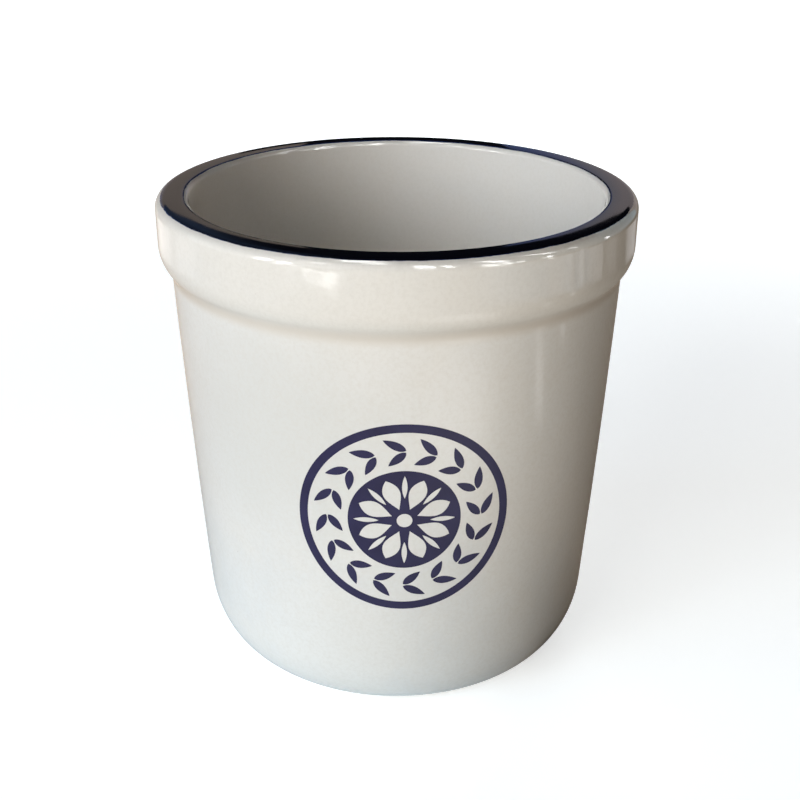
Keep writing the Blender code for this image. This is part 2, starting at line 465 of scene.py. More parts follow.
# Patterns of the finishes: swells per metre, detail, roughness, and distortion where there is any
GLAZE_CLOUD = (16.0, 3.0, 0.55)
GLAZE_PATCH = (55.0, 3.0, 0.6)
GLAZE_DRIFT = (21.0, 4.0, 0.62, 0.6)
GLAZE_GRAIN = (640.0, 3.0, 0.65)
GLAZE_SHEEN = (70.0, 4.0, 0.6)
GLAZE_SWELL = (48.0, 2.0, 0.45)
GLAZE_PEEL = (520.0, 2.0, 0.5)
BAND_WAVER = (38.0, 3.0, 0.6)
BAND_FRAY = (420.0, 2.0, 0.6)
BAND_DEPTH = (90.0, 3.0, 0.6)
BAND_SHEEN = (160.0, 3.0, 0.55)
INK_CLOUD = (60.0, 2.0, 0.5)
INK_GRAIN = (900.0, 2.0, 0.6)
INK_BUMP = (340.0, 1.0, 0.5)
CLAY_SAND = (700.0, 4.0, 0.7)
CLAY_CLOUD = (30.0, 4.0, 0.6)

# Specks: cells per metre, largest radius in metres, share of the cells, and where the cells start
DARK_SPECKS = (95.0, 0.00042, 0.060, 0.31)
FINE_SPECKS = (260.0, 0.00022, 0.15, 1.73)
PITS = (150.0, 0.00030, 0.05, 4.19)
IRON_SPECKS = (330.0, 0.00045, 0.16, 2.9)

# Where a pattern sets in and where it is full, then the colour's share at each
CLOUD_COVER = (0.35, 0.68)
PATCH_COVER = (0.50, 0.80, 0.0, 0.25)
DRIFT_COVER = (0.47, 0.72, 0.0, 0.75)
GRAIN_COVER = (0.42, 0.70, 0.0, 0.30)
INK_COVER = (0.55, 0.85, 0.0, 0.20)
SAND_COVER = (0.52, 0.80, 0.0, 0.55)
BLUSH_COVER = (0.0665, 0.0715, 0.0, 0.55)  # by the distance from the axis, in metres
THICK_SHARE, POOL_AND_SHADE_SHARE, DARK_SHARE, FINE_SHARE, IRON_SHARE = 0.9, 0.85, 0.42, 0.30, 0.75

# Bumps: depth in metres, strength
SWELL_BUMP, PEEL_BUMP, PIT_BUMP = (0.00034, 0.40), (0.00004, 0.42), (0.00005, 0.6)
INK_RELIEF, SAND_BUMP, RING_BUMP = (0.00003, 0.12), (0.00018, 0.8), (0.00010, 0.5)
RIM_PEEL = 0.12  # share of the glaze's bumps that the rim has

# Gloss
GLAZE_ROUGH, NAVY_ROUGH, INK_ROUGH, CLAY_ROUGH = (0.030, 0.065), (0.035, 0.06), (0.38, 0.48), (0.72, 0.90)
SPECK_ROUGH = 0.2  # what a dark speck adds
GLAZE_IOR, INK_IOR, INK_SPECULAR = 1.52, 1.50, 0.25

# Places, in metres
OUTSIDE = (0.0885, 0.0895)  # radii between which the glaze counts as outside, at the collar
LOW_WALL = (0.05, 0.15, 1.0, 0.25)  # heights between which the cooler, greyer drifts fade, their share at each
SHADE_PATCH_PLACE = (-0.052, -0.073, 0.128)  # the middle of a painted shade patch on the wall's front-left, where the key lamps fall most
SHADE_PATCH_COVER = (0.015, 0.062, 0.9, 0.0)  # distances from there, share at each
SHADE_PATCH_WANDER = 0.010
SHADED_POOL_SIDE = (0.030, 0.085)  # where the cove's painted shade turns browner, between these x on the crock's right
EDGE_WAVER, EDGE_FRAY, EDGE_BLUR = 0.00022, 0.00006, 0.00010  # of the navy band's two edges
THIN_BAND = (0.00035, 0.0021)  # how far from its edges the band is thin, on its near and its far side
THIN_BAND_WANDER = 0.0002
FAR_SIDE = (-0.45, 0.89)  # the direction in which the band runs thinner
NEAR_AND_FAR = (-0.25, 0.75)  # from where to where it does, in collar radii along that
RING_PITCH = 0.0021  # of the turning marks in the bare clay


def white_glaze(m, tint=PLAIN_TINT, peel_share=1.0):
    """Colour, roughness and bump of the white glaze, the same on every coat that shows it, with painted shade
    in the cove and on the wall's front-left, and the axes.
    """
    x, y, z, radius = m.axes()
    white, cool = (tuple(a * b for a, b in zip(tint, base)) for base in (WHITE, COOL))
    colour = m.mix(m.mapped(m.noise(*GLAZE_CLOUD), *CLOUD_COVER), white, cool)
    colour = m.mix(m.mapped(m.noise(*GLAZE_PATCH), *PATCH_COVER), colour, WARM)

    outside = m.mapped(radius, *OUTSIDE)
    collar = m.mapped(z, COVE_Z - COVE_REACH, COVE_Z + COVE_REACH, smooth=True)
    colour = m.mix(m.math("MULTIPLY", m.math("MULTIPLY", collar, outside), THICK_SHARE), colour, THICK)

    drift = m.noise(*GLAZE_DRIFT)
    low = m.mapped(z, *LOW_WALL, smooth=True)
    colour = m.mix(m.math("MULTIPLY", m.mapped(drift, *DRIFT_COVER), low), colour, LOW_DRIFT_GREY)
    # A painted shade patch, darker and a little cooler, on the wall's front-left where the key lamps fall
    # most
    apart = m.node("ShaderNodeVectorMath", operation="DISTANCE")
    m.link(m.place, apart.inputs[0])
    apart.inputs[1].default_value = SHADE_PATCH_PLACE
    away = m.math("ADD", apart.outputs["Value"], m.mapped(drift, *NOISE_RANGE, -SHADE_PATCH_WANDER, SHADE_PATCH_WANDER))
    colour = m.mix(m.mapped(away, *SHADE_PATCH_COVER, smooth=True), colour, SHADE_PATCH_TONE)
    colour = m.mix(m.mapped(m.noise(*GLAZE_GRAIN), *GRAIN_COVER), colour, GRAIN_TONE)

    # The cove's band: glaze pooled in the cove, and painted shade under the collar's overhang, deeper on the
    # crock's right
    pooled_and_shaded = m.math("MULTIPLY", m.mapped(z, COVE_Z - COVE_REACH, COVE_Z, 0.0, 1.0, smooth=True),
                    m.mapped(z, COVE_Z, COVE_Z + COVE_REACH, 1.0, 0.0, smooth=True))
    pooled_and_shaded = m.math("MULTIPLY", pooled_and_shaded, outside)
    shaded_pool = m.mix(m.mapped(x, *SHADED_POOL_SIDE, smooth=True), POOLED_AND_SHADED, SHADED_POOL_RIGHT)
    colour = m.mix(m.math("MULTIPLY", pooled_and_shaded, POOL_AND_SHADE_SHARE), colour, shaded_pool)

    dark = m.specks(*DARK_SPECKS)
    colour = m.mix(m.math("MULTIPLY", dark, DARK_SHARE), colour, DARK_SPECK)
    colour = m.mix(m.math("MULTIPLY", m.specks(*FINE_SPECKS), FINE_SHARE), colour, FINE_SPECK)
    rough = m.math("ADD", m.spread(GLAZE_SHEEN, *GLAZE_ROUGH), m.math("MULTIPLY", dark, SPECK_ROUGH))
    normal = None
    for pattern, (depth, strength) in ((GLAZE_SWELL, SWELL_BUMP), (GLAZE_PEEL, PEEL_BUMP)):
        normal = m.bump(m.noise(*pattern), depth, strength * peel_share, normal)
    normal = m.bump(m.math("SUBTRACT", 1.0, m.specks(*PITS)), *PIT_BUMP, normal)
    return colour, rough, normal, (x, y, radius)


def finish_white(name, tint=PLAIN_TINT):
    m = Nodes(name)
    colour, rough, normal, _ = white_glaze(m, tint)
    m.shade(Base_Color=colour, Roughness=rough, Normal=normal, IOR=GLAZE_IOR)
    return m.material


def finish_rim(name):
    """The navy band over the rim, thin and blue at its two wavering edges, with white beyond them."""
    m = Nodes(name)
    white, white_rough, normal, (x, y, radius) = white_glaze(m, peel_share=RIM_PEEL)
    waver = m.spread(BAND_WAVER, -EDGE_WAVER, EDGE_WAVER)
    waver = m.math("ADD", waver, m.spread(BAND_FRAY, -EDGE_FRAY, EDGE_FRAY))
    lip_middle = bore_radius(HEIGHT - LIP_RADIUS) + LIP_RADIUS / math.cos(LEAN)
    inner_edge = lip_middle - LIP_RADIUS * math.sin(BAND_INNER_TURN)
    outer_edge = COLLAR_RADIUS - SHOULDER_RADIUS + SHOULDER_RADIUS * math.sin(BAND_OUTER_TURN)
    wavering = m.math("ADD", radius, waver)
    from_inner = m.math("SUBTRACT", wavering, inner_edge)
    depth = m.math("MINIMUM", from_inner, m.math("SUBTRACT", outer_edge, wavering))
    cover = m.mapped(depth, -EDGE_BLUR, EDGE_BLUR, smooth=True)

    along = m.math("ADD", m.math("MULTIPLY", x, FAR_SIDE[0]), m.math("MULTIPLY", y, FAR_SIDE[1]))
    thin = m.mapped(m.math("DIVIDE", along, COLLAR_RADIUS), *NEAR_AND_FAR, *THIN_BAND, smooth=True)
    thin = m.math("ADD", thin, m.spread(BAND_DEPTH, -THIN_BAND_WANDER, THIN_BAND_WANDER))
    dark = m.mix(m.mapped(m.math("DIVIDE", depth, thin), 0.0, 1.0, smooth=True), BLUE, NAVY)
    rough = m.node("ShaderNodeMix", data_type="FLOAT")
    m.link(cover, rough.inputs["Factor"])
    m.link(white_rough, rough.inputs[2])
    m.link(m.spread(BAND_SHEEN, *NAVY_ROUGH), rough.inputs[3])
    colour = m.mix(cover, white, dark)
    m.shade(Base_Color=colour, Roughness=rough.outputs[0], Normal=normal, IOR=GLAZE_IOR)
    return m.material


def finish_ink(name):
    """The print's fired ink, matter than the glaze."""
    m = Nodes(name)
    grain = m.noise(*INK_GRAIN)
    colour = m.mix(m.spread(INK_CLOUD), INK, INK_DEEP)
    colour = m.mix(m.mapped(grain, *INK_COVER), colour, INK_PALE)
    normal = m.bump(m.noise(*INK_BUMP), *INK_RELIEF)
    rough = m.mapped(grain, *NOISE_RANGE, *INK_ROUGH)
    m.shade(Base_Color=colour, Roughness=rough, Normal=normal, IOR=INK_IOR, Specular_IOR_Level=INK_SPECULAR)
    return m.material


def finish_clay(name):
    """Bare fired clay: sandy, with turning marks and a darker blush beside the glaze."""
    m = Nodes(name)
    *_, radius = m.axes()
    sand = m.noise(*CLAY_SAND)
    colour = m.mix(m.spread(CLAY_CLOUD), CLAY, CLAY_DARK)
    colour = m.mix(m.mapped(sand, *SAND_COVER), colour, SAND)
    colour = m.mix(m.math("MULTIPLY", m.specks(*IRON_SPECKS), IRON_SHARE), colour, IRON)
    colour = m.mix(m.mapped(radius, *BLUSH_COVER, smooth=True), colour, BLUSH)
    rings = m.math("SINE", m.math("MULTIPLY", radius, 2 * math.pi / RING_PITCH))
    normal = m.bump(sand, *SAND_BUMP, m.bump(rings, *RING_BUMP))
    m.shade(Base_Color=colour, Roughness=m.mapped(sand, *NOISE_RANGE, *CLAY_ROUGH), Normal=normal)
    return m.material


white_outside = finish_white("white_glaze_outside")
# The inside glaze carries painted shade: a darker, warmer copy of the white
white_inside_shaded = finish_white("white_glaze_inside_shaded", INSIDE_SHADE_TINT)
navy = finish_rim("navy_rim_glaze")
ink = finish_ink("fired_ink")
clay = finish_clay("bare_clay")


# Coats and clay

RIM_FIRST, RIM_LAST = STARTS["rim"], STARTS["collar_top"]
inner_coat = coat("inner_coat", 0, RIM_FIRST, white_inside_shaded)
rim_coat = coat("rim_coat", RIM_FIRST, RIM_LAST, navy)
outer_coat = coat("outer_coat", RIM_LAST, len(OUTLINE) - 1, white_outside)

CLAY_DEPTH = COAT + 0.00002  # of the clay below the glazed surface
CLAY_STRIDE = 2
CLAY_SHARP = math.radians(35)
BARE_RISE = 0.0008  # of the bare clay's top over the foot ring's
EDGE_SHARE = 0.3  # of the foot ring's edge, at the middle of its rounding


def clay_outline():
    """The clay under the coats from the floor's middle over the rim to the heel, then the foot ring."""
    steps = sorted({*range(0, len(OUTLINE), CLAY_STRIDE), len(OUTLINE) - 1})
    under = [tuple(OUTLINE[k] - NORMALS[k] * CLAY_DEPTH) for k in steps]
    under[0] = (0.0, FLOOR_Z - CLAY_DEPTH)
    heel_end = heel(math.pi / 2, 1)[-1]
    foot_outer = heel_end[0] - FOOT_INSET
    foot_inner = foot_outer - FOOT_WIDTH
    bare_z = FOOT_HEIGHT + BARE_RISE
    return under + [
        (heel_end[0], bare_z),
        (foot_outer, bare_z),
        (foot_outer, FOOT_EDGE),
        (foot_outer - EDGE_SHARE * FOOT_EDGE, EDGE_SHARE * FOOT_EDGE),
        (foot_outer - FOOT_EDGE, 0.0),
        (foot_inner + FOOT_EDGE, 0.0),
        (foot_inner + EDGE_SHARE * FOOT_EDGE, EDGE_SHARE * FOOT_EDGE),
        (foot_inner, FOOT_EDGE),
        (foot_inner - FOOT_EDGE, FOOT_HOLLOW),
        (foot_inner / 2, FOOT_HOLLOW),
        (0.0, FOOT_HOLLOW),
    ]


clay_body = turned("clay_body", clay_outline(), clay, CLAY_SHARP)


# Print

WALL_ROWS = slice(STARTS["wall"], STARTS["heel"] + 1)
WALL_Z = OUTLINE[WALL_ROWS, 1][::-1]
WALL_R = OUTLINE[WALL_ROWS, 0][::-1]
PRINT_WALL = wall_radius(PRINT_HEIGHT)
INK_PROUD = 0.00003  # of the print over the glaze
INK_DEPTH = 0.0002  # from the print's face to its back

# The design, in metres from its middle: radii, and turns in radians
RING_INNER, RING_STEPS, RING_INNER_STEPS = 0.0380, 160, 150
DISC_RADIUS, DISC_STEPS = 0.0218, 96
EYE_RADIUS, EYE_STEPS = 0.0030, 32
PETALS, PETAL_ROOT, PETAL_TIP, PETAL_WIDTH, PETAL_BELLY = 8, 0.0052, 0.0188, 0.0066, 0.58
SPIKE_ROOT, SPIKE_TIP, SPIKE_WIDTH, SPIKE_BELLY, SPIKE_STEPS = 0.0098, 0.0196, 0.0021, 0.5, 10
LEAF_PAIRS, LEAF_WIDTH, LEAF_BELLY, LEAF_STEPS, LEAF_ROOT_TURN = 16, 0.0034, 0.42, 14, -0.015
LEAF_FULLNESS = 0.85  # the power of a leaf's width along its length: less is fuller
LEAVES = ((0.0304, 0.0357, 0.235), (0.0296, 0.0246, 0.255))  # a pair: root's and tip's radius, tip's turn
FILL_STEP = 0.0011  # between the points that fill the print
FILL_ROW = 0.87  # from row to row of them, of a step
FILL_EDGE, FILL_CLEAR = 0.4, 0.35  # how far they keep from the print's edge and from other points, of a step
SAME_POINT = 1e-9


def on_wall(s, t, depth):
    """A place on the print, measured along the wall from its middle, at a depth below the printed face."""
    z = PRINT_HEIGHT + t
    r = float(np.interp(z, WALL_Z, WALL_R))
    turn = -math.pi / 2 + math.asin(PRINT_WALL * math.sin(s / PRINT_WALL) / r)
    normal = Vector((math.cos(LEAN) * math.cos(turn), math.cos(LEAN) * math.sin(turn), -math.sin(LEAN)))
    out = dip(r, z, turn) + INK_PROUD - depth
    return Vector((r * math.cos(turn), r * math.sin(turn), z)) + out * normal, normal


def around(radius, turn):
    return (radius * math.cos(turn), radius * math.sin(turn))


def circle(radius, count):
    return [around(radius, 2 * math.pi * k / count) for k in range(count)]


def leaf(root, tip, width, belly=LEAF_BELLY, steps=LEAF_STEPS):
    """A pointed leaf's outline from its root to its tip, widest at the share belly of its length."""
    ax, ay = tip[0] - root[0], tip[1] - root[1]
    length = math.hypot(ax, ay)
    ux, uy = ax / length, ay / length
    sides = []
    for side in (1, -1):
        run = []
        for k in range(steps + 1):
            t = k / steps
            half = width / 2 * math.sin(math.pi * t ** (math.log(0.5) / math.log(belly))) ** LEAF_FULLNESS
            run.append((
                root[0] + ux * length * t - side * uy * half,
                root[1] + uy * length * t + side * ux * half,
            ))
        sides.append(run)
    return sides[0] + sides[1][-2:0:-1]


def print_outlines():
    """Nested outlines of a plain roundel: what lies inside an odd number of them is inked."""
    shapes = [circle(PRINT_RADIUS, RING_STEPS), circle(RING_INNER, RING_INNER_STEPS)]
    shapes.append(circle(DISC_RADIUS, DISC_STEPS))
    for k in range(PETALS):
        turn = math.pi / PETALS + k * 2 * math.pi / PETALS
        shapes.append(leaf(around(PETAL_ROOT, turn), around(PETAL_TIP, turn), PETAL_WIDTH, PETAL_BELLY))
    for k in range(PETALS):
        turn = k * 2 * math.pi / PETALS
        root, tip = around(SPIKE_ROOT, turn), around(SPIKE_TIP, turn)
        shapes.append(leaf(root, tip, SPIKE_WIDTH, SPIKE_BELLY, SPIKE_STEPS))
    shapes.append(circle(EYE_RADIUS, EYE_STEPS))
    for k in range(LEAF_PAIRS):
        turn = k * 2 * math.pi / LEAF_PAIRS
        for root_radius, tip_radius, tip_turn in LEAVES:
            root, tip = around(root_radius, turn + LEAF_ROOT_TURN), around(tip_radius, turn + tip_turn)
            shapes.append(leaf(root, tip, LEAF_WIDTH))
    return shapes


def inside_count(x, y, shapes):
    """In how many of the outlines each place lies."""
    total = np.zeros(len(x), int)
    for shape in shapes:
        s = np.array(shape)
        crossed = np.zeros(len(x), bool)
        for (x0, y0), (x1, y1) in zip(s, np.roll(s, -1, axis=0)):
            if y0 != y1:
                crossed ^= ((y0 > y) != (y1 > y)) & (x < (x1 - x0) * (y - y0) / (y1 - y0) + x0)
        total += crossed
    return total


def fill_points(points):
    """A lattice of places inside the print that keep clear of its edge and of the points given."""
    reach = int(PRINT_RADIUS / FILL_STEP) + 1
    own = np.array([tuple(p) for p in points])
    found = []
    for a in range(-reach, reach + 1):
        for b in range(-reach, reach + 1):
            x, y = a * FILL_STEP + (b % 2) * FILL_STEP / 2, b * FILL_STEP * FILL_ROW
            if math.hypot(x, y) > PRINT_RADIUS - FILL_STEP * FILL_EDGE:
                continue
            if np.hypot(own[:, 0] - x, own[:, 1] - y).min() > FILL_STEP * FILL_CLEAR:
                found.append(Vector((x, y)))
    return found


def build_print():
    """The inked faces of the design, laid on the wall, with a back and with sides along every edge."""
    shapes = print_outlines()
    points, edges = [], []
    for shape in shapes:
        base = len(points)
        points += [Vector(p) for p in shape]
        edges += [(base + k, base + (k + 1) % len(shape)) for k in range(len(shape))]
    verts, _, faces, *_ = delaunay_2d_cdt(points + fill_points(points), edges, [], 0, SAME_POINT)
    flat = np.array([tuple(v) for v in verts])
    tri = np.array([f for f in faces if len(f) == 3])
    mid = flat[tri].mean(axis=1)
    tri = tri[inside_count(mid[:, 0], mid[:, 1], shapes) % 2 == 1]
    used = np.unique(tri)
    index = {int(v): k for k, v in enumerate(used)}
    top, low, normals = [], [], []
    for v in used:
        place, normal = on_wall(*flat[v], 0.0)
        top.append(tuple(place))
        low.append(tuple(on_wall(*flat[v], INK_DEPTH)[0]))
        normals.append(tuple(normal))
    count = len(used)
    out, border = [], {}
    for a, b, c in tri:
        a, b, c = index[int(a)], index[int(b)], index[int(c)]
        if np.cross(flat[used[b]] - flat[used[a]], flat[used[c]] - flat[used[a]]) < 0:
            b, c = c, b
        out.append((a, b, c))
        out.append((a + count, c + count, b + count))
        for e in ((a, b), (b, c), (c, a)):
            if (e[1], e[0]) in border:
                border.pop((e[1], e[0]))
            else:
                border[e] = True
    out += [(b, a, a + count, b + count) for a, b in border]
    return make("print_ink", top + low, out, ink, normals + [tuple(-np.array(n)) for n in normals])


print_ink = build_print()

for piece, nodes, slot in (
    (clay_body, ("stoneware_body",), "bare_stoneware"),
    (inner_coat, ("inner_glaze",), "white_glaze"),
    (outer_coat, ("outer_glaze",), "white_glaze"),
    (rim_coat, ("rim_band",), "navy_glaze"),
    (print_ink, ("front_print",), "fired_print"),
):
    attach(piece, "root")
    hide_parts(*nodes)


# Floor and world

FLOOR_HALF = 6.0
FLOOR_TONES = (0.735, 0.795, 0.82), (0.745, 0.805, 0.83)
FLOOR_GRAIN = (30.0, 3.0, 0.6)
FLOOR_ROUGH = 0.9
FLOOR_GLOW = (0.35, 1.60, 0.60, 1.00)  # the floor's glow, seen by the camera and in reflections, rises outwards as painted light where the lamps fall off: from, to, least, most
FILL_SIDES, FILL_TOP = 0.23, 0.012  # the world's strength for all but the rays that see it as a backdrop
FILL_HEIGHTS = (0.15, 0.45)
FILL_TINT = (1.03, 0.76, 0.54)
SEEN_RAYS = ("Is Camera Ray", "Is Glossy Ray", "Is Transmission Ray")


def seen_rays(tree):
    """1 for the rays that see a backdrop, 0 for those that carry its light."""
    ray = tree.nodes.new("ShaderNodeLightPath")
    seen = ray.outputs[SEEN_RAYS[0]]
    for kind in SEEN_RAYS[1:]:
        add = tree.nodes.new("ShaderNodeMath")
        add.operation, add.use_clamp = "ADD", True
        tree.links.new(seen, add.inputs[0])
        tree.links.new(ray.outputs[kind], add.inputs[1])
        seen = add.outputs[0]
    return seen


def floor_material():
    m = Nodes("floor_paper")
    *_, radius = m.axes()
    glow = m.mapped(radius, *FLOOR_GLOW, smooth=True)
    m.shade(Base_Color=m.mix(m.spread(FLOOR_GRAIN), *FLOOR_TONES), Roughness=FLOOR_ROUGH,
            Emission_Strength=m.math("MULTIPLY", seen_rays(m.tree), glow), Emission_Color=(1, 1, 1, 1))
    return m.material


def light_world():
    """A white backdrop for what sees it, and a dim, warm fill from low down for the rest."""
    world = bpy.data.worlds.new("studio")
    bpy.context.scene.world = world
    world.use_nodes = True
    tree = world.node_tree
    seen = seen_rays(tree)
    way = tree.nodes.new("ShaderNodeTexCoord")
    split = tree.nodes.new("ShaderNodeSeparateXYZ")
    tree.links.new(way.outputs["Generated"], split.inputs[0])
    fill = tree.nodes.new("ShaderNodeMapRange")
    fill.interpolation_type = "SMOOTHSTEP"
    tree.links.new(split.outputs["Z"], fill.inputs["Value"])
    numbers = (*FILL_HEIGHTS, FILL_SIDES, FILL_TOP)
    for key, number in zip(("From Min", "From Max", "To Min", "To Max"), numbers):
        fill.inputs[key].default_value = number
    level = tree.nodes.new("ShaderNodeMapRange")
    tree.links.new(seen, level.inputs["Value"])
    tree.links.new(fill.outputs[0], level.inputs["To Min"])
    level.inputs["To Max"].default_value = 1.0
    tree.links.new(level.outputs[0], tree.nodes["Background"].inputs["Strength"])
    shade = tree.nodes.new("ShaderNodeMix")
    shade.data_type = "RGBA"
    tree.links.new(seen, shade.inputs["Factor"])
    shade.inputs[6].default_value = (*FILL_TINT, 1)
    shade.inputs[7].default_value = (1, 1, 1, 1)
    tree.links.new(shade.outputs[2], tree.nodes["Background"].inputs["Color"])


FLOOR_CORNERS = [(x * FLOOR_HALF, y * FLOOR_HALF, 0) for x, y in ((-1, -1), (1, -1), (1, 1), (-1, 1))]
floor = make("floor", FLOOR_CORNERS, [(0, 1, 2, 3)], floor_material())
light_world()


# Lamps and panels

CENTRE = Vector((0, 0, 0.15))
LAMP_AWAY = 2.2
PANEL_AWAY, WINDOW_AWAY, SKY_AWAY = 3.0, 2.8, 2.9
TABLE_LIFT, GLINT_LIFT = 0.002, 0.004  # over the floor
PANEL_STEP = 6  # most degrees between a panel's points


def aimed(turn, rise, distance):
    """An offset: degrees from +X towards +Y, degrees up, metres away."""
    a, e = math.radians(turn), math.radians(rise)
    return Vector((math.cos(e) * math.cos(a), math.cos(e) * math.sin(a), math.sin(e))) * distance


def lamp(name, turn, rise, size, power, colour):
    """A soft lamp without a reflection of its own."""
    data = bpy.data.lights.new(name, "AREA")
    data.shape = "RECTANGLE"
    data.size, data.size_y = size
    data.energy = power
    data.color = colour
    made = bpy.data.objects.new(name, data)
    bpy.context.scene.collection.objects.link(made)
    made.location = CENTRE + aimed(turn, rise, LAMP_AWAY)
    made.rotation_mode = "QUATERNION"
    made.rotation_quaternion = aimed(turn, rise, LAMP_AWAY).to_track_quat("Z", "Y")
    made.visible_glossy = False


def parted(stops, even=False):
    """The stops with more between them, none further apart than a panel's step."""
    found = []
    for a, b in zip(stops, stops[1:]):
        n = 1 if even else max(1, math.ceil((b - a) / PANEL_STEP))
        found += [a + (b - a) * k / n for k in range(n)]
    return found + [stops[-1]]


def panel(points, faces, tones, turns, spans, levels, tint, distance, lift):
    """Adds a curved panel with a tone at each stop. Spans are degrees up, or metres out on the floor."""
    flat = distance is None
    inserts, rises = parted(turns), parted(spans, flat)
    levels, tint = np.array(levels, float), np.array(tint, float)
    tints = tint if tint.ndim == 3 else np.broadcast_to(tint, (len(spans), len(turns), 3))
    base, across = len(points), len(inserts)
    for rise in rises:
        row = [np.interp(rise, spans, levels[:, k]) for k in range(len(turns))]
        hues = [[np.interp(rise, spans, tints[:, k, c]) for k in range(len(turns))] for c in range(3)]
        for turn in inserts:
            level = float(np.interp(turn, turns, row))
            on_floor = aimed(turn, 0, rise) + Vector((0, 0, lift))
            points.append(on_floor if flat else CENTRE + aimed(turn, rise, distance))
            tones.append([level * float(np.interp(turn, turns, hue)) for hue in hues] + [1.0])
    for i in range(len(rises) - 1):
        for j in range(across - 1):
            k = base + i * across + j
            face = (k, k + 1, k + across + 1, k + across)
            faces.append(face[::-1] if flat else face)


def panels(name, rows, adds=False, lights=False):
    """Panels that only reflections see, and the table's, which also lights the crock from below."""
    points, faces, tones = [], [], []
    for row in rows:
        panel(points, faces, tones, *row, GLINT_LIFT if adds else TABLE_LIFT)
    finish = bpy.data.materials.new(name)
    finish.use_nodes = True
    nodes, links = finish.node_tree.nodes, finish.node_tree.links
    nodes.remove(nodes["Principled BSDF"])
    tone = nodes.new("ShaderNodeAttribute")
    tone.attribute_name = "tone"
    glow = nodes.new("ShaderNodeEmission")
    links.new(tone.outputs["Color"], glow.inputs["Color"])
    clear = nodes.new("ShaderNodeBsdfTransparent")
    shown = glow.outputs[0]
    if adds:
        both = nodes.new("ShaderNodeAddShader")
        links.new(glow.outputs[0], both.inputs[0])
        links.new(clear.outputs[0], both.inputs[1])
        shown = both.outputs[0]
    if lights:
        one_side = nodes.new("ShaderNodeMixShader")
        links.new(nodes.new("ShaderNodeNewGeometry").outputs["Backfacing"], one_side.inputs[0])
        links.new(shown, one_side.inputs[1])
        links.new(clear.outputs[0], one_side.inputs[2])
        shown = one_side.outputs[0]
    links.new(shown, nodes["Material Output"].inputs["Surface"])
    made = make(name, points, faces, finish)
    layer = made.data.attributes.new("tone", "FLOAT_COLOR", "POINT")
    layer.data.foreach_set("color", [c for tone in tones for c in tone])
    made.visible_camera = False
    made.visible_diffuse = lights
    made.visible_shadow = False
    made.visible_transmission = False


def plain(turns, spans, colour):
    return (turns, spans, [[1, 1], [1, 1]], colour, PANEL_AWAY)


def soft(turns, spans, strength, colour, distance, edge):
    """A panel that fades out at its edges."""
    (a, b), (c, d) = turns, spans
    u, v = (b - a) * edge, (d - c) * edge
    rows = [[0, 0, 0, 0], [0, strength, strength, 0], [0, strength, strength, 0], [0, 0, 0, 0]]
    return ((a, a + u, b - u, b), (c, c + v, d - v, d), rows, colour, distance)


KEY_TINT, KEY_SIDE_TINT = (1.01, 0.98, 0.92), (0.80, 0.975, 1.21)
LAMPS = (  # degrees round and up, width and height, watts, colour
    ("key_side", 205, 20.5, (1.5, 1.25), 18.7, KEY_SIDE_TINT),
    ("key_mid", 231, 20.5, (1.3, 1.15), 26.5, KEY_TINT),
    ("key_low", 226, 4, (1.2, 0.25), 3.2, KEY_TINT),
    ("fill_back", 78, 6, (1.2, 0.3), 34, (1, 1, 1)),
)
for row in LAMPS:
    lamp(*row)

# The table is a glowing sheet, painted light that the crock's reflections and bounce light see. Near the
# crock on its right it is dark, as painted shadow.
# The table: its level at stops round the crock, near it and far from it, and the share of warm light there
TABLE_COOL, TABLE_WARM = np.array((0.84, 1.00, 1.10)), np.array((1.19, 0.97, 0.76))
TABLE_TURNS = (-180, -125, -90, -60, -30, 10, 60, 120, 180)
TABLE_RADII = (0.060, 0.13, 0.30, 2.8)
TABLE_NEAR = (0.61, 0.67, 0.69, 0.35, 0.03, 0.14, 0.11, 0.44, 0.57)
TABLE_FAR = (0.21, 0.14, 1.07, 1.15, 0.39, 0.04, 0.18, 0.56, 0.21)
NEAR_WARM = (0.05, 0.0, 0.0, 0.2, 1.0, 1.0, 1.0, 0.6, 0.1)
FAR_WARM = (0.9, 0.8, 0.5, 0.5, 0.7, 1.0, 1.0, 0.9, 0.9)
near_tint, far_tint = (
    [list(TABLE_COOL * (1 - w) + TABLE_WARM * w) for w in warm] for warm in (NEAR_WARM, FAR_WARM)
)
panels("card_table", [(
    TABLE_TURNS, TABLE_RADII, [TABLE_NEAR, TABLE_NEAR, TABLE_FAR, TABLE_FAR],
    [near_tint, near_tint, far_tint, far_tint], None,
)], lights=True)

# The room: degrees round, degrees up, colour. One wall runs from brown to blue.
ROOM_LOW, ROOM_TOP = -3, 17.3
ROOM_TURNS = (54, 75, 77, 79, 81, 82)
ROOM_TINTS = [
    (0.43, 0.37, 0.35), (0.42, 0.37, 0.385), (0.33, 0.32, 0.37), (0.215, 0.23, 0.375), (0.115, 0.15, 0.33),
    (0.115, 0.15, 0.33),
]
NEARLY_BLACK, BLACK = (0.004, 0.004, 0.005), (0.004, 0.004, 0.004)
ROOM = (
    ((93, 160), (13, ROOM_TOP), (0.335, 0.283, 0.250)),
    ((97, 160), (ROOM_LOW, 13), (0.335, 0.290, 0.262)),
    ((93, 97), (ROOM_LOW, 13), NEARLY_BLACK),
    ((82, 93), (ROOM_LOW, ROOM_TOP), NEARLY_BLACK),
    ((-50, 54), (ROOM_LOW, 36), (0.51, 0.66, 0.74)),
    ((54, 200), (ROOM_TOP, 50), NEARLY_BLACK),
    ((-50, 200), (36, 90), BLACK),
    ((200, 310), (50, 90), BLACK),
)
wall_panel = (ROOM_TURNS, (ROOM_LOW, ROOM_TOP), [[1] * len(ROOM_TURNS)] * 2, [ROOM_TINTS] * 2, PANEL_AWAY)
panels("card_room", [wall_panel] + [plain(*row) for row in ROOM])

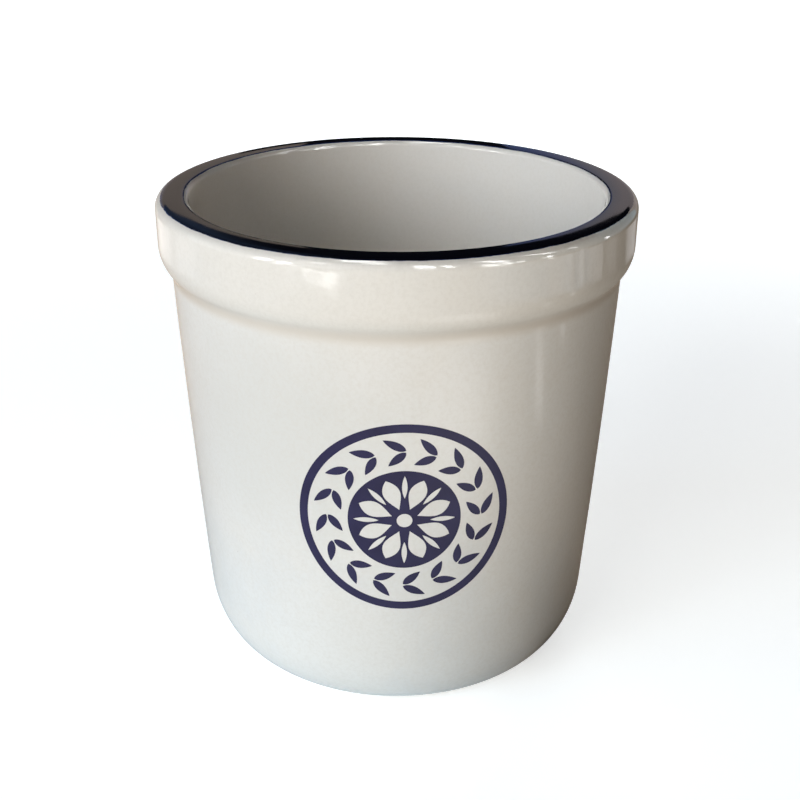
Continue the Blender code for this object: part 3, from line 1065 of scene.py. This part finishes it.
# Windows: degrees round, degrees up, strength
WHITE_GLOW, SKY_GLOW = (1.0, 1.0, 1.0), (0.040, 0.065, 0.120)
WINDOW_EDGE = 0.25
SKY_TURNS, SKY_RISES = (94.5, 96, 98, 100, 125, 140), (17.4, 22, 52, 60)
SKY_FADE = [0, 0.1, 0.4, 1, 1, 0]
WINDOWS = (
    ((202, 212), (-3, 26), 12),
    ((214, 222), (-3, 24), 11),
    ((221, 234), (38, 50), 9),
    ((100, 235), (74, 88), 14),
    ((236, 262), (62, 80), 12),
    ((276, 288), (25, 58), 16),
    ((290, 295), (20, 50), 16),
    ((313, 325), (26, 58), 14),
    ((305, 314), (-3, 28), 11),
    ((314, 321), (0, 30), 10),
    ((322, 326), (2, 16), 10),
    ((343, 350), (24, 54), 12),
    ((336, 341), (-2, 14), 13),
    ((354, 359), (14, 30), 6),
    ((15, 19), (-3, 12), 8),
    ((334, 340), (3, 9), 6),
    ((308, 321), (3, 9), 6),
    ((275, 288), (15, 21), 7),
    ((247, 264), (16, 21), 2),
    ((226, 245), (9, 17), 1.5),
)
sky = (SKY_TURNS, SKY_RISES, [SKY_FADE, SKY_FADE, SKY_FADE, [0] * len(SKY_TURNS)], SKY_GLOW, SKY_AWAY)
windows = [soft(turns, rises, level, WHITE_GLOW, WINDOW_AWAY, WINDOW_EDGE) for turns, rises, level in WINDOWS]
panels("card_windows", [sky] + windows, adds=True)

# Glints of light on the table: degrees round, metres out, strength, colour, share that fades at each edge
ROOM_GLOW, COOL_GLOW = (0.98, 0.98, 1.0), (0.50, 0.85, 1.20)
GLINTS = (
    ((213, 219), (0.70, 2.0), 8, WHITE_GLOW, 0.25),
    ((221, 226), (1.0, 2.8), 9, WHITE_GLOW, 0.25),
    ((219, 226), (0.652, 0.692), 2.0, WHITE_GLOW, 0.15),
    ((228, 235), (0.642, 0.664), 2.2, WHITE_GLOW, 0.15),
    ((226, 247), (0.668, 0.685), 11.0, WHITE_GLOW, 0.15),
    ((235, 244), (0.638, 0.664), 6.5, WHITE_GLOW, 0.25),
    ((118, 150), (0.56, 0.80), 0.75, WHITE_GLOW, 0.25),
    ((146, 172), (0.56, 0.80), 0.6, WHITE_GLOW, 0.25),
    ((306, 320), (0.80, 1.6), 5, WHITE_GLOW, 0.25),
    ((335, 340), (0.70, 1.4), 10, WHITE_GLOW, 0.25),
    ((353, 359), (0.9, 1.3), 3, WHITE_GLOW, 0.25),
    ((298, 368), (0.56, 0.80), 0.7, COOL_GLOW, 0.2),
    ((276, 316), (0.19, 0.44), 1.1, WHITE_GLOW, 0.35),
    ((336, 352), (0.56, 0.80), 0.6, ROOM_GLOW, 0.15),
    ((344, 350), (0.54, 0.80), 0.7, ROOM_GLOW, 0.35),
    ((353, 358), (0.56, 0.80), 0.9, ROOM_GLOW, 0.3),
    ((359, 372), (0.58, 0.80), 0.6, ROOM_GLOW, 0.12),
    ((374, 386), (0.58, 0.80), 0.2, ROOM_GLOW, 0.2),
    ((395, 418), (0.56, 0.82), 0.45, ROOM_GLOW, 0.2),
    ((348, 353), (0.40, 0.58), 1.4, WHITE_GLOW, 0.3),
    ((328, 332), (0.44, 0.60), 1.2, WHITE_GLOW, 0.3),
    ((333, 340), (0.28, 0.44), 1.0, WHITE_GLOW, 0.3),
)
panels("card_glints", [
    soft(turns, radii, level, colour, None, edge) for turns, radii, level, colour, edge in GLINTS
], adds=True)


# Camera

SENSOR, LENS, CLIP_START = 36.0, 53.949, 0.01
CAMERA_PLACE = Vector((-0.016955, -0.482786, 0.329805))
CAMERA_AIM = Vector((0.001545, -0.000059, 0.107588))
CAMERA_ROLL = math.radians(0.2209)

camera = bpy.data.objects.new("camera", bpy.data.cameras.new("camera"))
bpy.context.scene.collection.objects.link(camera)
camera.data.sensor_width = SENSOR
camera.data.lens = LENS
camera.data.clip_start = CLIP_START
camera.location = CAMERA_PLACE
camera.rotation_mode = "QUATERNION"
level_view = (CAMERA_AIM - CAMERA_PLACE).to_track_quat("-Z", "Y")
camera.rotation_quaternion = level_view @ Matrix.Rotation(CAMERA_ROLL, 3, "Z").to_quaternion()
bpy.context.scene.camera = camera
bpy.context.scene.view_settings.view_transform = "Standard"
